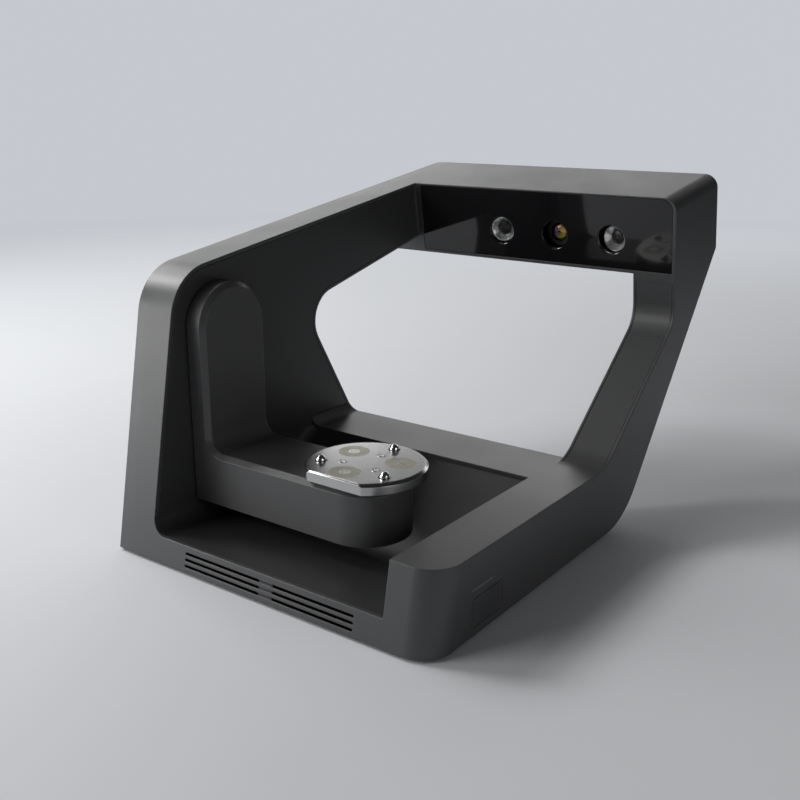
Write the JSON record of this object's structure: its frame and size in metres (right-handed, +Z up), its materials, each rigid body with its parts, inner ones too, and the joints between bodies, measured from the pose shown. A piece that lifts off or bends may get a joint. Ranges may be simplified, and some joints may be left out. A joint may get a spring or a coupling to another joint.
{
  "type": "desktop 3d scanner",
  "caption": "Desktop scanner: tray housing, left wall and right strut carry an optics head, and a swinging arm tilts a turntable plate before the cameras.",
  "frame": {"origin": "on the desk below the middle of the box round the object", "axes": "+Z up, +Y from the open front back to the optics head, +X from the tall wall to the strut"},
  "size_m": [0.28, 0.4206, 0.2585],
  "materials": {
    "housing": "satin moulded",
    "liner": "satin moulded",
    "rubber": "matt",
    "screw": "plated",
    "black_glass": "gloss",
    "bench": "milled",
    "camera": "matt black",
    "bright_cone": "polished",
    "coated_lens": "coated glass",
    "steel": "ground",
    "motor": "matt black",
    "circuit_board": "lacquered",
    "black_plastic": "moulded",
    "light": "frosted",
    "cable": "flat cable",
    "arm": "satin moulded",
    "brass": "cut",
    "plate": "satin anodised",
    "ball": "polished",
    "magnet": "dark plated",
    "magnet_screw": "dark plated",
    "button": "satin moulded"
  },
  "bodies": {
    "housing": {"base_shell": "housing", "tray": "liner", "bottom_plate": "liner", "rubber_feet": "rubber", "bottom_screws": "screw", "left_wall_shell": "housing", "left_wall_liner": "liner", "right_strut_shell": "housing", "strut_cover": "liner", "head_shell": "housing", "head_rear_cover": "liner", "rear_cover_screws": "screw", "front_glass": "black_glass", "optical_bench": "bench", "camera_left": "camera", "camera_right": "camera", "lens_cone_left": "bright_cone", "lens_cone_right": "bright_cone", "projector_body": "camera", "projector_lens": "coated_lens", "projector_heat_sink": "bench", "drive_plate": "steel", "pivot_bearings": "steel", "tilt_motor": "motor", "main_board": "circuit_board", "port_plate": "steel", "power_inlet": "black_plastic", "data_port": "steel", "button_switch": "black_plastic", "indicator_lights": "light", "head_cable": "cable"},
    "swing_arm": {"arm_shell": "arm", "arm_side_cover": "black_plastic", "arm_bottom_cover": "black_plastic", "arm_screws": "screw", "pivot_shaft": "steel", "tilt_gear": "brass", "turntable_motor": "motor", "bearing_carrier": "bench", "spindle_bearings": "steel"},
    "turntable": {"turntable_plate": "plate", "spindle": "steel", "turntable_gear": "brass", "support_balls": "ball", "magnet_discs": "magnet", "magnet_screws": "magnet_screw", "plate_screws": "screw"},
    "tilt_rotor": {"tilt_pinion": "brass"},
    "table_rotor": {"turntable_pinion": "brass"},
    "button": {"power_button": "button"}
  },
  "joints": [
    {"name": "arm_tilt", "type": "hinge", "parent": "housing", "child": "swing_arm", "pos_m": [-0.1021, -0.13359, 0.162], "axis": [1, 0, 0], "range_deg": [-90, 45]},
    {"name": "turntable_spin", "type": "hinge", "parent": "swing_arm", "child": "turntable", "pos_m": [0.0335, -0.13359, 0.0835], "axis": [0, 0, 1], "continuous": true},
    {"name": "tilt_motor_spin", "type": "hinge", "parent": "housing", "child": "tilt_rotor", "pos_m": [-0.117, -0.13359, 0.132], "axis": [1, 0, 0], "range_deg": [-182, 362]},
    {"name": "table_motor_spin", "type": "hinge", "parent": "swing_arm", "child": "table_rotor", "pos_m": [0.0035, -0.13359, 0.0507], "axis": [0, 0, 1], "continuous": true},
    {"name": "button_press", "type": "slide", "parent": "housing", "child": "button", "axis": [-1, 0, 0], "range_m": [0, 0.0012], "stiffness_N_per_m": 1500}
  ],
  "couplings": [
    {"joint": "tilt_motor_spin", "follows": "arm_tilt", "ratio": -4},
    {"joint": "table_motor_spin", "follows": "turntable_spin", "ratio": -4}
  ]
}
